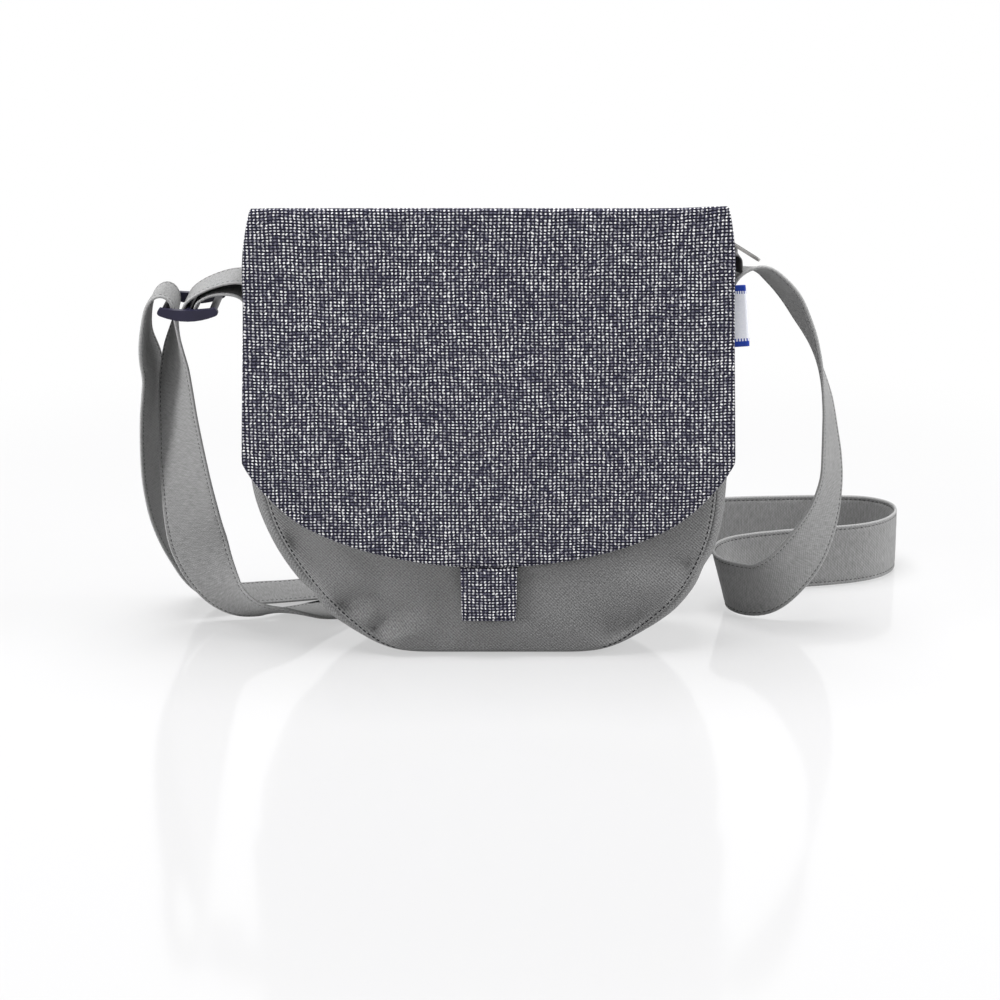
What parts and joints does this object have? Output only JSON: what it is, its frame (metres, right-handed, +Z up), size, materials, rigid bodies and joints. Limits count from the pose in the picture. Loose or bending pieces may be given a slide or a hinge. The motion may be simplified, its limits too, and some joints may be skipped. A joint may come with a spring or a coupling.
{
  "type": "crossbody bag",
  "caption": "soft crossbody bag with a round-edged hinged flap, pull tab, zip top, gusset and a long flat shoulder strap with a slide buckle",
  "frame": {"origin": "on the floor under the middle of the bag's base", "axes": "+X to the right seen from the front, -Y out of the front, +Z up"},
  "size_m": [0.4358, 0.1822, 0.245],
  "materials": {
    "twill": "matte grey cotton twill",
    "tweed": "coarse navy and white weave",
    "lining": "plain grey lining",
    "zip_tape": "dark grey woven tape",
    "zip_metal": "bright nickel",
    "buckle_plastic": "satin moulded plastic",
    "label": "white woven label with blue ends"
  },
  "bodies": {
    "bag": {"front_panel": "twill", "back_panel": "twill", "gusset": "twill", "lining": "lining", "zip_tape_front": "zip_tape", "zip_tape_rear": "zip_tape", "zip_teeth_front": "zip_metal", "zip_teeth_rear": "zip_metal", "zip_stop": "zip_metal", "flap_seam": "tweed", "snap_socket": "zip_metal", "side_tab": "twill", "strap": "twill", "label": "label"},
    "flap": {"flap_shell": "tweed", "flap_lining": "lining"},
    "pull_tab": {"pull_tab": "tweed", "pull_tab_backing": "lining", "snap_stud": "zip_metal"},
    "zip_slider": {"zip_slider": "zip_metal"},
    "zip_puller": {"zip_puller": "zip_metal"},
    "buckle": {"slide_buckle": "buckle_plastic"}
  },
  "joints": [
    {"name": "flap_hinge", "type": "hinge", "parent": "bag", "child": "flap", "pos_m": [0, 0.01945, 0.225], "axis": [-1, 0, 0], "range_deg": [0, 170]},
    {"name": "pull_tab_hinge", "type": "hinge", "parent": "flap", "child": "pull_tab", "pos_m": [0, -0.0353, 0.0523], "axis": [-1, 0, 0], "range_deg": [0, 75]},
    {"name": "zip_slide", "type": "slide", "parent": "bag", "child": "zip_slider", "axis": [-1, 0, 0], "range_m": [0, 0.2]},
    {"name": "puller_hinge", "type": "hinge", "parent": "zip_slider", "child": "zip_puller", "pos_m": [0.12689, 0, 0.2226], "axis": [0, -1, 0], "range_deg": [0, 65]},
    {"name": "buckle_tilt", "type": "hinge", "parent": "bag", "child": "buckle", "pos_m": [-0.158, 0, 0.1885], "axis": [0, 1, 0], "range_deg": [-10, 10], "deforming": ["strap"]}
  ]
}
